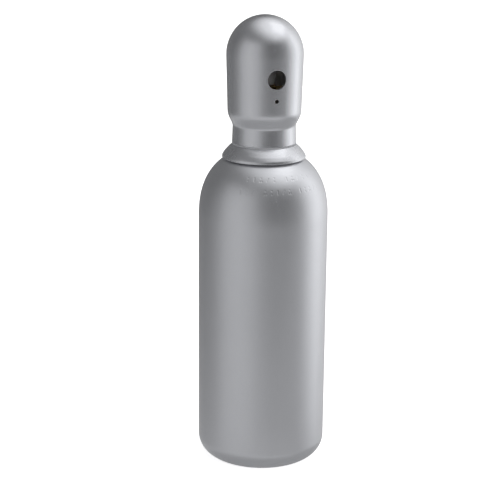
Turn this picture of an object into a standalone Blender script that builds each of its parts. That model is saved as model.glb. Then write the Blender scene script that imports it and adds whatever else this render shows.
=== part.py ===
"""High-pressure gas cylinder with a flared neck ring, a screw-on valve cap and the valve inside it.

The cylinder stands on the origin with its axis along +Z. The valve outlet points along +X and the
cap's vent holes face -Y and +Y. Numbers are in millimetres; MM turns them into Blender's metres.
"""

import math

import bmesh
import bpy

MM = 0.001
GAP = 0.3
BIG_STEPS = 40
SMALL_STEPS = 24
BORE_STEPS = 28

# Cylinder shell
BODY_R = 88.9
WALL = 5.0
BASE_CORNER_R = 28.7
SHOULDER_Z = 348.4
SHOULDER_H = 94.6
SHOULDER_POWER = 2.38
NECK_R = 30.0
NECK_TOP_Z = 474.0
NECK_BORE_TOP_R = 13.9
NECK_BORE_LOW_R = 12.9
BASE_DISH_Z = 12.5

# Neck ring
COLLAR_TOP_Z = 449.3
COLLAR_TOP_R = 43.8
COLLAR_LIP_R = 57.2
COLLAR_LIP_LOW_Z = 430.6
COLLAR_LIP_TOP_Z = 432.2
RING_THREAD_R = 39.4

# Valve cap
CAP_LOW_Z = 451.1
SKIRT_TOP_Z = 476.5
SKIRT_R = 43.8
SKIRT_TOP_R = 43.0
SKIRT_BORE_R = 39.7
CAP_STEP_Z = 492.5
CAP_STEP_R = 50.0
CAP_DOME_Z = 571.2
CAP_DOME_R = 52.2
CAP_TOP_Z = 624.1
CAP_WALL = 4.0
VENT_Z = 543.5
VENT_R = 12.85
SMALL_HOLE_Z = 514.8
SMALL_HOLE_R = 2.75

# Valve body
VALVE_LOW_Z = 448.0
VALVE_BASE_Z = 477.0
VALVE_TOP_Z = 545.0
VALVE_R = 15.0
SPIGOT_R = 11.0
SPIGOT_Z = 530.5
INLET_R = 3.2
SEAT_Z = 506.0
CHAMBER_R = 7.5
OUTLET_Z = 512.0
OUTLET_X = 32.5
OUTLET_BOSS_R = 15.5
OUTLET_BORE_R = 12.2
SAFETY_Z = 497.0
SAFETY_X = 20.0
SAFETY_BOSS_R = 8.5
SAFETY_BORE_R = 5.3

# Spindle and handwheel
STEM_R = 4.0
STUD_R = 2.6
SQUARE_HALF = 3.0
TANG_HALF = 1.1
SLOT_HALF = 1.45
SPINDLE_TOP_Z = 600.0
WHEEL_LOW_Z = 562.0
WHEEL_TOP_Z = 580.0
WHEEL_R = 31.0


def clear_scene():
    for old in list(bpy.data.objects):
        bpy.data.objects.remove(old, do_unlink=True)


def new_collection(name, hidden=False):
    made = bpy.data.collections.new(name)
    bpy.context.scene.collection.children.link(made)
    made.hide_render = hidden
    return made


def new_material(name, colour, metallic, roughness):
    made = bpy.data.materials.new(name)
    made.use_nodes = True
    shader = made.node_tree.nodes["Principled BSDF"]
    shader.inputs["Base Color"].default_value = (*colour, 1.0)
    shader.inputs["Metallic"].default_value = metallic
    shader.inputs["Roughness"].default_value = roughness
    return made


def finish(obj, look):
    """Puts a piece in the object's collection, or a cutter (look None) among the cutters."""
    if look is None:
        CUTTERS.objects.link(obj)
        obj.hide_render = True
        obj.display_type = "WIRE"
        return obj
    PIECES.objects.link(obj)
    obj.data.materials.append(look)
    return obj


def turned(name, look, profile, base=0.0, steps=SMALL_STEPS):
    """A solid of revolution about Z. The profile runs down its outer side from top to bottom."""
    mesh = bpy.data.meshes.new(name)
    points = [(r * MM, 0.0, (z - base) * MM) for r, z in profile]
    edges = [(i, i + 1) for i in range(len(points) - 1)]
    if profile[0][0] > 0.0:
        edges.append((len(points) - 1, 0))
    mesh.from_pydata(points, edges, [])
    obj = bpy.data.objects.new(name, mesh)
    obj.location = (0.0, 0.0, base * MM)
    screw = obj.modifiers.new("Turn", "SCREW")
    screw.axis = "Z"
    screw.angle = math.tau
    screw.steps = steps
    screw.render_steps = steps
    screw.use_merge_vertices = True
    screw.merge_threshold = 0.00001
    screw.use_smooth_shade = True
    return finish(obj, look)


def along_x(obj, z, sign):
    """Turns a piece so that its own +Z points along +X (sign 1) or -X (sign -1) at height z."""
    obj.rotation_euler = (0.0, sign * math.pi / 2, 0.0)
    obj.location = (sign * obj.location.z, 0.0, z * MM)
    return obj


def prism(name, look, outline, low, high, bevel=0.0):
    """An upright prism between two heights, with its origin on the Z axis."""
    mesh = bpy.data.meshes.new(name)
    shape = bmesh.new()
    lower = [shape.verts.new((x * MM, y * MM, 0.0)) for x, y in outline]
    upper = [shape.verts.new((x * MM, y * MM, (high - low) * MM)) for x, y in outline]
    shape.faces.new(list(reversed(lower)))
    shape.faces.new(upper)
    for i in range(len(outline)):
        j = (i + 1) % len(outline)
        shape.faces.new((lower[i], lower[j], upper[j], upper[i]))
    if bevel > 0.0:
        ends = [e for e in shape.edges if abs(e.verts[0].co.z - e.verts[1].co.z) < 1e-7]
        bmesh.ops.bevel(shape, geom=ends, offset=bevel * MM, segments=1, affect="EDGES")
    shape.to_mesh(mesh)
    shape.free()
    obj = bpy.data.objects.new(name, mesh)
    obj.location = (0.0, 0.0, low * MM)
    return finish(obj, look)


def circle(count, radius, phase=0.0, x=0.0, y=0.0):
    turns = [phase + math.tau * i / count for i in range(count)]
    return [(x + radius * math.cos(a), y + radius * math.sin(a)) for a in turns]


def boxed(half_x, half_y):
    return [(-half_x, -half_y), (half_x, -half_y), (half_x, half_y), (-half_x, half_y)]


def boolean(obj, other, operation):
    step = obj.modifiers.new(operation.title() + " " + other.name, "BOOLEAN")
    step.operation = operation
    step.solver = "EXACT"
    step.object = other


def arc(centre_r, centre_z, radius_r, radius_z, start, end, count):
    """Points of an elliptic arc; angles are in degrees from +r towards +z."""
    found = []
    for i in range(count + 1):
        a = math.radians(start + (end - start) * i / count)
        found.append((centre_r + radius_r * math.cos(a), centre_z + radius_z * math.sin(a)))
    return found


def shoulder(radius, height, r):
    """Height of the superelliptic shoulder at distance r from the axis."""
    return SHOULDER_Z + height * (1.0 - (r / radius) ** SHOULDER_POWER) ** (1.0 / SHOULDER_POWER)


def make_shell():
    inner_r = BODY_R - WALL
    inner = [(0.0, 21.0), (25.0, 18.8), (42.0, 13.6), (54.0, 9.4)]
    inner += arc(61.9, 30.0, inner_r - 61.9, 22.0, -90.0, 0.0, 5)
    inner.append((inner_r, SHOULDER_Z))
    inner += [(r, shoulder(inner_r, 86.0, r)) for r in (81.5, 75.0, 64.0, 48.0, 28.0)]
    inner.append((NECK_BORE_LOW_R, shoulder(inner_r, 86.0, NECK_BORE_LOW_R)))
    inner.append((NECK_BORE_LOW_R, 447.0))
    neck = [(NECK_BORE_TOP_R, NECK_TOP_Z), (NECK_R - 1.0, NECK_TOP_Z), (NECK_R, NECK_TOP_Z - 1.0)]
    neck += [(NECK_R, 441.6), (30.6, 440.4)]
    rise = (33.0, 42.0, 52.0, 61.0, 69.0, 76.0, 81.5, 85.5, 88.0)
    outer = [(r, shoulder(BODY_R, SHOULDER_H, r)) for r in rise]
    outer.append((BODY_R, SHOULDER_Z))
    outer += arc(BODY_R - BASE_CORNER_R, BASE_CORNER_R, BASE_CORNER_R, BASE_CORNER_R, 0.0, -90.0, 7)
    base = [(56.5, 0.0), (50.0, 2.4), (38.0, 6.8), (22.0, 10.8), (0.0, BASE_DISH_Z)]
    turned("cylinder_shell", PAINT, inner + neck + outer + base, steps=BIG_STEPS)


def make_neck_ring():
    profile = [(NECK_R + GAP, NECK_TOP_Z - 0.5), (RING_THREAD_R - 1.2, NECK_TOP_Z - 0.5)]
    profile += [(RING_THREAD_R, NECK_TOP_Z - 1.7), (RING_THREAD_R, COLLAR_TOP_Z)]
    profile += [(COLLAR_TOP_R, COLLAR_TOP_Z), (47.3, 446.0), (50.5, 442.7), (53.0, 439.9)]
    profile += [(55.0, 437.1), (56.4, 434.5), (COLLAR_LIP_R, COLLAR_LIP_TOP_Z)]
    profile += [(COLLAR_LIP_R, COLLAR_LIP_LOW_Z), (COLLAR_LIP_R - 2.8, COLLAR_LIP_LOW_Z)]
    profile += [(50.0, 436.4), (45.5, 440.6), (41.0, 437.6), (36.0, 439.4), (33.2, 440.6)]
    profile.append((NECK_R + GAP, 443.2))
    turned("neck_ring", PAINT, profile, COLLAR_LIP_LOW_Z, BIG_STEPS)


def make_cap_seal_ring():
    low = COLLAR_TOP_Z + GAP
    high = CAP_LOW_Z - GAP
    profile = [(39.8, high), (SKIRT_R - 0.6, high), (SKIRT_R - 0.6, low), (39.8, low)]
    turned("cap_seal_ring", FIBRE, profile, low, BIG_STEPS)


def make_valve_cap():
    inner_top = CAP_TOP_Z - CAP_WALL
    inner_r = CAP_DOME_R - CAP_WALL
    inner = [(SKIRT_BORE_R + 1.0, CAP_LOW_Z), (SKIRT_BORE_R, CAP_LOW_Z + 1.0)]
    inner += [(SKIRT_BORE_R, SKIRT_TOP_Z + 1.5), (45.3, 491.0), (46.1, 495.0)]
    inner += arc(0.0, CAP_DOME_Z, inner_r, inner_top - CAP_DOME_Z, 0.0, 90.0, 7)
    inner[-1] = (0.0, inner_top)
    outer = arc(0.0, CAP_DOME_Z, CAP_DOME_R, CAP_TOP_Z - CAP_DOME_Z, 90.0, 0.0, 9)
    outer[0] = (0.0, CAP_TOP_Z)
    outer += [(CAP_STEP_R, CAP_STEP_Z), (49.2, 489.6), (43.7, 477.4), (SKIRT_TOP_R, SKIRT_TOP_Z - 1.5)]
    outer.append((SKIRT_R, CAP_LOW_Z))
    cap = turned("valve_cap", PAINT, outer + inner, CAP_LOW_Z, BIG_STEPS)
    holes = (("vent_cutter", VENT_Z, VENT_R), ("small_hole_cutter", SMALL_HOLE_Z, SMALL_HOLE_R))
    for name, height, radius in holes:
        cutter = prism(name, None, circle(SMALL_STEPS, radius), 0.0, 140.0)
        cutter.rotation_euler = (math.pi / 2, 0.0, 0.0)
        cutter.location = (0.0, 70.0 * MM, height * MM)
        boolean(cap, cutter, "DIFFERENCE")


def wrench_base_outline():
    """A circle with its two sides cut flat for a wrench."""
    flat = 15.5
    return [(x, max(-flat, min(flat, y))) for x, y in circle(SMALL_STEPS, 19.0, math.pi / SMALL_STEPS)]


def make_valve_body():
    profile = [(0.0, VALVE_TOP_Z), (SPIGOT_R - 0.8, VALVE_TOP_Z), (SPIGOT_R, VALVE_TOP_Z - 0.8)]
    profile += [(SPIGOT_R, SPIGOT_Z), (VALVE_R - 1.0, SPIGOT_Z), (VALVE_R, SPIGOT_Z - 1.0)]
    profile += [(VALVE_R, 485.0), (13.7, 483.0), (13.6, VALVE_BASE_Z - 2.0)]
    profile += [(12.6, VALVE_LOW_Z), (0.0, VALVE_LOW_Z)]
    body = turned("valve_body", BRASS, profile, VALVE_LOW_Z)
    base = prism("wrench_base", None, wrench_base_outline(), VALVE_BASE_Z, 489.0, 1.0)
    boolean(body, base, "UNION")
    boss = [(0.0, OUTLET_X), (OUTLET_BOSS_R - 1.0, OUTLET_X), (OUTLET_BOSS_R, OUTLET_X - 1.0)]
    boss += [(OUTLET_BOSS_R, 0.0), (0.0, 0.0)]
    boolean(body, along_x(turned("outlet_boss", None, boss), OUTLET_Z, 1), "UNION")
    stub = [(0.0, SAFETY_X), (SAFETY_BOSS_R, SAFETY_X), (SAFETY_BOSS_R, 0.0), (0.0, 0.0)]
    boolean(body, along_x(turned("safety_boss", None, stub), SAFETY_Z, -1), "UNION")
    way = [(0.0, VALVE_TOP_Z + 1.0), (CHAMBER_R, VALVE_TOP_Z + 1.0), (CHAMBER_R, SEAT_Z)]
    way += [(INLET_R, SEAT_Z), (INLET_R, VALVE_LOW_Z - 1.0), (0.0, VALVE_LOW_Z - 1.0)]
    boolean(body, turned("chamber_cutter", None, way), "DIFFERENCE")
    mouth = [(0.0, OUTLET_X + 1.0), (OUTLET_BORE_R, OUTLET_X + 1.0), (OUTLET_BORE_R, 22.0)]
    mouth += [(3.0, 18.0), (3.0, 4.0), (0.0, 4.0)]
    cutter = turned("outlet_cutter", None, mouth, 0.0, BORE_STEPS)
    boolean(body, along_x(cutter, OUTLET_Z, 1), "DIFFERENCE")
    port = [(0.0, SAFETY_X + 1.0), (SAFETY_BORE_R, SAFETY_X + 1.0), (SAFETY_BORE_R, 13.0)]
    port += [(1.8, 12.0), (1.8, 1.0), (0.0, 1.0)]
    cutter = turned("safety_cutter", None, port, 0.0, BORE_STEPS)
    boolean(body, along_x(cutter, SAFETY_Z, -1), "DIFFERENCE")


def make_seat():
    disc = [(0.0, 509.3), (4.8, 509.3), (4.8, 506.3), (0.0, 506.3)]
    turned("seat_disc", NYLON, disc, 506.3)
    holder = [(0.0, 517.0), (2.0, 517.0), (2.0, 513.0), (6.4, 513.0), (6.4, 507.3)]
    holder += [(5.1, 507.3), (5.1, 509.6), (0.0, 509.6)]
    turned("seat_holder", BRASS, holder, 507.3)


def make_lower_plug():
    profile = [(0.0, 527.0), (6.6, 527.0), (7.2, 526.4), (7.2, 513.9), (6.6, 513.3)]
    profile += [(2.3, 513.3), (2.3, 517.3), (0.0, 517.3)]
    plug = turned("lower_plug", BRASS, profile, 513.3)
    slot = prism("slot_cutter", None, boxed(9.0, SLOT_HALF), 519.0, 528.0)
    boolean(plug, slot, "DIFFERENCE")


def make_spindle():
    profile = [(0.0, SPINDLE_TOP_Z), (STUD_R - 0.6, SPINDLE_TOP_Z), (STUD_R, SPINDLE_TOP_Z - 0.6)]
    profile += [(STUD_R, 558.0), (STEM_R, 557.0), (STEM_R, 535.0), (CHAMBER_R - GAP, 535.0)]
    profile += [(CHAMBER_R - GAP, 531.2), (0.0, 531.2)]
    spindle = turned("spindle", STEEL, profile, 531.2)
    square = prism("spindle_square", None, boxed(SQUARE_HALF, SQUARE_HALF), 556.5, 579.5)
    boolean(spindle, square, "UNION")
    tang = prism("spindle_tang", None, boxed(5.5, TANG_HALF), 523.2, 532.5)
    boolean(spindle, tang, "UNION")


def washer(name, look, inner, outer, low, high, steps=SMALL_STEPS):
    profile = [(inner, high), (outer, high), (outer, low), (inner, low)]
    return turned(name, look, profile, low, steps)


def make_packing():
    around = CHAMBER_R - GAP
    washer("spindle_washer", NYLON, STEM_R + GAP, around, 535.3, 537.3)
    washer("packing_ring_lower", FIBRE, STEM_R + GAP, around, 537.6, 540.1)
    washer("packing_ring_upper", FIBRE, STEM_R + GAP, around, 540.4, 542.9)
    washer("packing_gland", BRASS, STEM_R + GAP, around, 543.2, 549.0)


def make_packing_nut():
    nut = prism("packing_nut", STEEL, circle(6, 14.6), 530.8, 553.0, 1.2)
    inside = [(0.0, 554.0), (STEM_R + 0.4, 554.0), (STEM_R + 0.4, 549.3), (SPIGOT_R + GAP, 549.3)]
    inside += [(SPIGOT_R + GAP, 530.0), (0.0, 530.0)]
    boolean(nut, turned("packing_nut_cutter", None, inside, 530.0), "DIFFERENCE")


def make_handwheel():
    profile = [(0.0, WHEEL_TOP_Z), (8.0, WHEEL_TOP_Z), (9.0, 579.0), (9.6, 574.5), (22.0, 573.0)]
    profile += [(24.0, 577.5), (27.5, 578.5), (30.3, 576.6), (WHEEL_R, 573.0), (30.4, 568.0)]
    profile += [(27.6, 565.0), (24.6, 565.0), (22.4, 569.0), (10.0, 569.0), (9.0, WHEEL_LOW_Z)]
    profile.append((0.0, WHEEL_LOW_Z))
    wheel = turned("handwheel", WHEEL, profile, WHEEL_LOW_Z, 40)
    low = WHEEL_LOW_Z - 2.0
    high = WHEEL_TOP_Z + 2.0
    hole = prism("wheel_square_cutter", None, boxed(3.35, 3.35), low, high)
    boolean(wheel, hole, "DIFFERENCE")
    for i in range(5):
        a = math.tau * (i + 0.5) / 5
        outline = circle(12, 4.6, 0.0, 16.2 * math.cos(a), 16.2 * math.sin(a))
        boolean(wheel, prism(f"wheel_window_{i}", None, outline, low, high), "DIFFERENCE")
    for i in range(10):
        a = math.tau * i / 10
        outline = circle(16, 6.0, 0.13, 34.6 * math.cos(a), 34.6 * math.sin(a))
        boolean(wheel, prism(f"wheel_scallop_{i}", None, outline, low, high), "DIFFERENCE")


def make_spring():
    turns, per_turn = 3, 14
    low, high, radius, wire = 582.6, 588.8, 4.7, 0.7
    curve = bpy.data.curves.new("handwheel_spring", "CURVE")
    curve.dimensions = "3D"
    curve.bevel_depth = wire * MM
    curve.bevel_resolution = 2
    curve.use_fill_caps = True
    line = curve.splines.new("POLY")
    count = turns * per_turn
    line.points.add(count)
    for i in range(count + 1):
        a = math.tau * i / per_turn
        rise = (high - low) * i / count
        line.points[i].co = (radius * MM * math.cos(a), radius * MM * math.sin(a), rise * MM, 1.0)
    obj = bpy.data.objects.new("handwheel_spring", curve)
    obj.location = (0.0, 0.0, low * MM)
    finish(obj, STEEL)


def make_wheel_stack():
    washer("spring_seat", STEEL, STUD_R + GAP, 7.6, 580.3, 581.5)
    make_spring()
    washer("spring_retainer", STEEL, STUD_R + GAP, 7.0, 589.9, 591.0)
    nut = prism("handwheel_nut", STEEL, circle(6, 5.4), 591.3, 596.3, 0.5)
    hole = prism("handwheel_nut_cutter", None, circle(SMALL_STEPS, STUD_R + GAP), 590.0, 598.0)
    boolean(nut, hole, "DIFFERENCE")


def make_outlet_plug():
    inner_end = OUTLET_X - 6.0
    profile = [(0.0, OUTLET_X + 1.8), (12.4, OUTLET_X + 1.8), (13.0, OUTLET_X + 1.2)]
    profile += [(13.0, OUTLET_X + GAP), (OUTLET_BORE_R - GAP, OUTLET_X + GAP)]
    profile += [(OUTLET_BORE_R - GAP - 0.5, inner_end), (9.4, inner_end), (9.6, OUTLET_X), (0.0, OUTLET_X)]
    along_x(turned("outlet_plug", DUST_PLUG, profile, inner_end), OUTLET_Z, 1)


def make_safety_device():
    around = SAFETY_BORE_R - GAP
    disc = [(0.0, 13.9), (around, 13.9), (around, 13.3), (0.0, 13.3)]
    along_x(turned("rupture_disc", STEEL, disc, 13.3), SAFETY_Z, -1)
    along_x(washer("safety_gasket", FIBRE, 2.2, around, 14.2, 15.2), SAFETY_Z, -1)
    shank = [(0.0, 21.5), (around, 21.5), (around, 15.5), (2.0, 15.5), (2.0, 19.0), (0.0, 19.0)]
    plug = turned("safety_plug", BRASS, shank, 15.5)
    along_x(plug, SAFETY_Z, -1)
    head = prism("safety_head", None, circle(6, 7.6), SAFETY_X + GAP, 27.0, 0.8)
    along_x(head, SAFETY_Z, -1)
    boolean(plug, head, "UNION")


clear_scene()
PIECES = new_collection("gas_cylinder_with_valve_cap")
CUTTERS = new_collection("cutters", True)
PAINT = new_material("silver_paint", (0.58, 0.59, 0.60), 0.6, 0.35)
BRASS = new_material("brass", (0.70, 0.52, 0.25), 1.0, 0.35)
STEEL = new_material("bright_steel", (0.55, 0.55, 0.56), 1.0, 0.3)
FIBRE = new_material("dark_fibre", (0.09, 0.085, 0.08), 0.0, 0.85)
NYLON = new_material("nylon", (0.80, 0.78, 0.70), 0.0, 0.5)
WHEEL = new_material("black_wheel", (0.03, 0.03, 0.032), 0.0, 0.5)
DUST_PLUG = new_material("dust_plug", (0.62, 0.08, 0.06), 0.0, 0.5)
make_shell()
make_neck_ring()
make_cap_seal_ring()
make_valve_cap()
make_valve_body()
make_seat()
make_lower_plug()
make_spindle()
make_packing()
make_packing_nut()
make_handwheel()
make_wheel_stack()
make_outlet_plug()
make_safety_device()
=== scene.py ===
"""Looks of the gas cylinder with a screw-on valve cap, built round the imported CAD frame."""

import math

import bmesh
import bpy
import numpy as np
from mathutils import Matrix, Vector


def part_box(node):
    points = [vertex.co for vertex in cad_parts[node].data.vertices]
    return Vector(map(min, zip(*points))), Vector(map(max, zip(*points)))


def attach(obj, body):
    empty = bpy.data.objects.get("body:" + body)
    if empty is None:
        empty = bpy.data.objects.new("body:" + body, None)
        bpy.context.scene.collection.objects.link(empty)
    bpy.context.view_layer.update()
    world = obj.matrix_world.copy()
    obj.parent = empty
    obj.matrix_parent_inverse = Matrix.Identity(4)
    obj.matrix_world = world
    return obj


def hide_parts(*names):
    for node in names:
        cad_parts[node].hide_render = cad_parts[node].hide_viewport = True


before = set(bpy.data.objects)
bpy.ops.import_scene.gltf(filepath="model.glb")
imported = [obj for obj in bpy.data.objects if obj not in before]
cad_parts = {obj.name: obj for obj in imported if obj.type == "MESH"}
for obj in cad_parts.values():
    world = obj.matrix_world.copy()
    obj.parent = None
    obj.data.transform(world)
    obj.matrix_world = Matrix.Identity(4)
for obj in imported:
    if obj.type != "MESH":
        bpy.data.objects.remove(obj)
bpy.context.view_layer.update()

TAU = math.tau
MM = 0.001


# ---------------------------------------------------------------- mesh helpers


def make_object(name, verts, faces, sharp=30.0):
    """A mesh object from points in millimetres, smooth except where faces meet sharply."""
    mesh = bpy.data.meshes.new(name)
    mesh.from_pydata([(x * MM, y * MM, z * MM) for x, y, z in verts], [], faces)
    shape = bmesh.new()
    shape.from_mesh(mesh)
    bmesh.ops.recalc_face_normals(shape, faces=shape.faces)
    shape.to_mesh(mesh)
    shape.free()
    shade(mesh, sharp)
    obj = bpy.data.objects.new(name, mesh)
    bpy.context.scene.collection.objects.link(obj)
    return obj


def shade(mesh, sharp=30.0):
    mesh.shade_smooth()
    mesh.set_sharp_from_angle(angle=math.radians(sharp))


def rounded(corners, closed=False, step=14.0):
    """A polyline through (r, z) or (r, z, radius) corners, with an arc of that radius at each."""
    count = len(corners)
    out = []
    for i, corner in enumerate(corners):
        here = np.array(corner[:2], float)
        radius = corner[2] if len(corner) > 2 else 0.0
        if radius <= 0.0 or (not closed and i in (0, count - 1)):
            out.append(here)
            continue
        before = np.array(corners[i - 1][:2], float) - here
        after = np.array(corners[(i + 1) % count][:2], float) - here
        len_before = np.linalg.norm(before)
        len_after = np.linalg.norm(after)
        before /= len_before
        after /= len_after
        turn = math.pi - math.acos(max(-1.0, min(1.0, float(before @ after))))
        if turn < 0.03:
            out.append(here)
            continue
        cut = min(radius * math.tan(turn / 2), 0.48 * len_before, 0.48 * len_after)
        used = cut / math.tan(turn / 2)
        middle = before + after
        middle /= np.linalg.norm(middle)
        centre = here + middle * used / math.cos(turn / 2)
        start = here + before * cut - centre
        end = here + after * cut - centre
        steps = max(2, math.ceil(math.degrees(turn) / step))
        first = math.atan2(start[1], start[0])
        sweep = math.atan2(end[1], end[0]) - first
        sweep = (sweep + math.pi) % TAU - math.pi
        for k in range(steps + 1):
            a = first + sweep * k / steps
            out.append(centre + used * np.array([math.cos(a), math.sin(a)]))
    return out


def resampled(points, start, end, pitch):
    """Adds rows no further apart than pitch to the stretches of a profile between two heights."""
    out = [points[0]]
    low, high = min(start, end), max(start, end)
    for a, b in zip(points, points[1:]):
        inside = min(a[1], b[1]) >= low - 1e-6 and max(a[1], b[1]) <= high + 1e-6
        pieces = max(1, math.ceil(np.linalg.norm(np.subtract(b, a)) / pitch)) if inside else 1
        for k in range(1, pieces + 1):
            out.append(np.array(a) + (np.array(b) - np.array(a)) * k / pieces)
    return out


def revolve(profile, segs, closed=False, bend=None):
    """Points and faces of a profile turned round Z. bend(r, z, angle) may change each radius."""
    angles = np.arange(segs) * TAU / segs
    verts, rows = [], []
    for r, z in profile:
        if r < 1e-6:
            rows.append([len(verts)] * segs)
            verts.append((0.0, 0.0, z))
            continue
        radii = np.full(segs, float(r)) if bend is None else bend(float(r), float(z), angles)
        rows.append(list(range(len(verts), len(verts) + segs)))
        verts += [(q * math.cos(a), q * math.sin(a), z) for q, a in zip(radii, angles)]
    faces = []
    pairs = list(zip(rows, rows[1:]))
    if closed:
        pairs.append((rows[-1], rows[0]))
    for lower, upper in pairs:
        for i in range(segs):
            j = (i + 1) % segs
            ring = [lower[i], lower[j], upper[j], upper[i]]
            face = [v for k, v in enumerate(ring) if v != ring[k - 1]]
            if len(set(face)) > 2:
                faces.append(face)
    return verts, faces


def along_x(verts, height, sign):
    """Lays points made round Z down so that their Z runs along +X or -X at a height."""
    return [(sign * z, -sign * x if sign > 0 else x, height + y) for x, y, z in verts]


def turned(name, profile, segs=96, closed=False, bend=None, lay=None, sharp=30.0):
    verts, faces = revolve(profile, segs, closed, bend)
    if lay is not None:
        verts = along_x(verts, *lay)
    return make_object(name, verts, faces, sharp)


def thread(pitch, depth, low, high, outward=True, runout=1.2):
    """A bend for revolve(): a right-hand thread cut into a wall between two heights."""

    def bend(r, z, angles):
        if not low <= z <= high:
            return np.full(len(angles), r)
        phase = (z / pitch - angles / TAU) % 1.0
        form = np.clip(abs(2.0 * phase - 1.0) * 1.3 - 0.15, 0.0, 1.0)
        fade = min(1.0, (z - low) / runout, (high - z) / runout)
        cut = depth * form * max(0.0, fade)
        return r - cut if outward else r + cut

    return bend


def hexagon(flats):
    """A bend for revolve(): no point lies outside a hexagon of that width across flats."""

    def bend(r, z, angles):
        side = (angles + TAU / 12) % (TAU / 6) - TAU / 12
        return np.minimum(r, flats / 2 / np.cos(side))

    return bend


def evaluated(obj, sharp=30.0):
    """Applies an object's modifiers."""
    graph = bpy.context.evaluated_depsgraph_get()
    mesh = bpy.data.meshes.new_from_object(obj.evaluated_get(graph))
    obj.modifiers.clear()
    obj.data = mesh
    shade(mesh, sharp)
    return obj


def remove(*objects):
    for obj in objects:
        bpy.data.objects.remove(obj, do_unlink=True)


def cut(obj, *cutters, sharp=30.0):
    for cutter in cutters:
        step = obj.modifiers.new("Cut", "BOOLEAN")
        step.operation = "DIFFERENCE"
        step.solver = "EXACT"
        step.object = cutter
    evaluated(obj, sharp)
    remove(*cutters)
    return obj


def cast(name, shapes, voxel, rounds):
    """One skin over several overlapping closed shapes, with the soft inner corners of a casting."""
    verts, faces = [], []
    for points, polygons in shapes:
        faces += [[v + len(verts) for v in face] for face in polygons]
        verts += points
    obj = make_object(name, verts, faces)
    remesh = obj.modifiers.new("Skin", "REMESH")
    remesh.mode = "VOXEL"
    remesh.voxel_size = voxel * MM
    soften = obj.modifiers.new("Soften", "SMOOTH")
    soften.factor = 0.5
    soften.iterations = rounds
    return evaluated(obj, 60.0)


def tube(name, path, radius, sides=14):
    """A round wire along a path of points in millimetres, with closed ends."""
    path = np.array(path, float)
    ahead = np.gradient(path, axis=0)
    ahead /= np.linalg.norm(ahead, axis=1)[:, None]
    verts, faces = [], []
    for point, way in zip(path, ahead):
        out = np.array([point[0], point[1], 0.0])
        out -= way * (out @ way)
        out /= np.linalg.norm(out)
        side = np.cross(way, out)
        for k in range(sides):
            a = TAU * k / sides
            verts.append(tuple(point + radius * (math.cos(a) * out + math.sin(a) * side)))
    for i in range(len(path) - 1):
        for k in range(sides):
            j = (k + 1) % sides
            low, high = i * sides, (i + 1) * sides
            faces.append([low + k, low + j, high + j, high + k])
    faces.append(list(range(sides)))
    faces.append(list(range(len(verts) - sides, len(verts))))
    return make_object(name, verts, faces, 50.0)


def mesh_of(profile, segs=96, bend=None, lay=None):
    verts, faces = revolve(profile, segs, False, bend)
    return (along_x(verts, *lay) if lay else verts), faces


def mm_box(node):
    low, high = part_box(node)
    return [v / MM for v in low], [v / MM for v in high]


# ---------------------------------------------------------------- materials


class Nodes:
    """Short ways to add and join shader nodes."""

    def __init__(self, name):
        self.material = bpy.data.materials.new(name)
        self.material.use_nodes = True
        self.tree = self.material.node_tree
        self.shader = self.tree.nodes["Principled BSDF"]
        coords = self.tree.nodes.new("ShaderNodeTexCoord")
        self.place = coords.outputs["Object"]

    def add(self, kind, inputs=None, **settings):
        node = self.tree.nodes.new(kind)
        for key, value in settings.items():
            setattr(node, key, value)
        for key, value in (inputs or {}).items():
            if isinstance(value, bpy.types.NodeSocket):
                self.tree.links.new(value, node.inputs[key])
            else:
                node.inputs[key].default_value = value
        return node

    def scaled(self, x, y, z):
        return self.add("ShaderNodeMapping", {"Vector": self.place, "Scale": (x, y, z)}).outputs[0]

    def noise(self, scale, detail=2.0, rough=0.5, vector=None):
        given = {"Vector": vector or self.place, "Scale": scale, "Detail": detail, "Roughness": rough}
        return self.add("ShaderNodeTexNoise", given).outputs["Fac"]

    def span(self, value, low, high, to_low, to_high):
        given = {
            "Value": value,
            "From Min": low,
            "From Max": high,
            "To Min": to_low,
            "To Max": to_high,
        }
        return self.add("ShaderNodeMapRange", given).outputs["Result"]

    def math(self, operation, a, b=0.0):
        return self.add("ShaderNodeMath", {0: a, 1: b}, operation=operation).outputs[0]

    def mix(self, share, one, two):
        node = self.add("ShaderNodeMix", data_type="RGBA")
        for socket, value in ((0, share), (6, one), (7, two)):
            if isinstance(value, bpy.types.NodeSocket):
                self.tree.links.new(value, node.inputs[socket])
            else:
                node.inputs[socket].default_value = value
        return node.outputs[2]

    def height(self):
        return self.add("ShaderNodeSeparateXYZ", {"Vector": self.place}).outputs["Z"]

    def bump(self, value, strength, distance, normal=None):
        given = {"Height": value, "Strength": strength, "Distance": distance}
        if normal is not None:
            given["Normal"] = normal
        return self.add("ShaderNodeBump", given).outputs["Normal"]

    def set(self, name, value):
        if isinstance(value, bpy.types.NodeSocket):
            self.tree.links.new(value, self.shader.inputs[name])
        else:
            self.shader.inputs[name].default_value = value


def grey(value, cool=0.0):
    """A grey, or with cool above 0 a bluish one."""
    return (value * (1.0 - 0.3 * cool), value, value * (1.0 + cool), 1.0)


SILVER_COOL = 0.05


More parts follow.
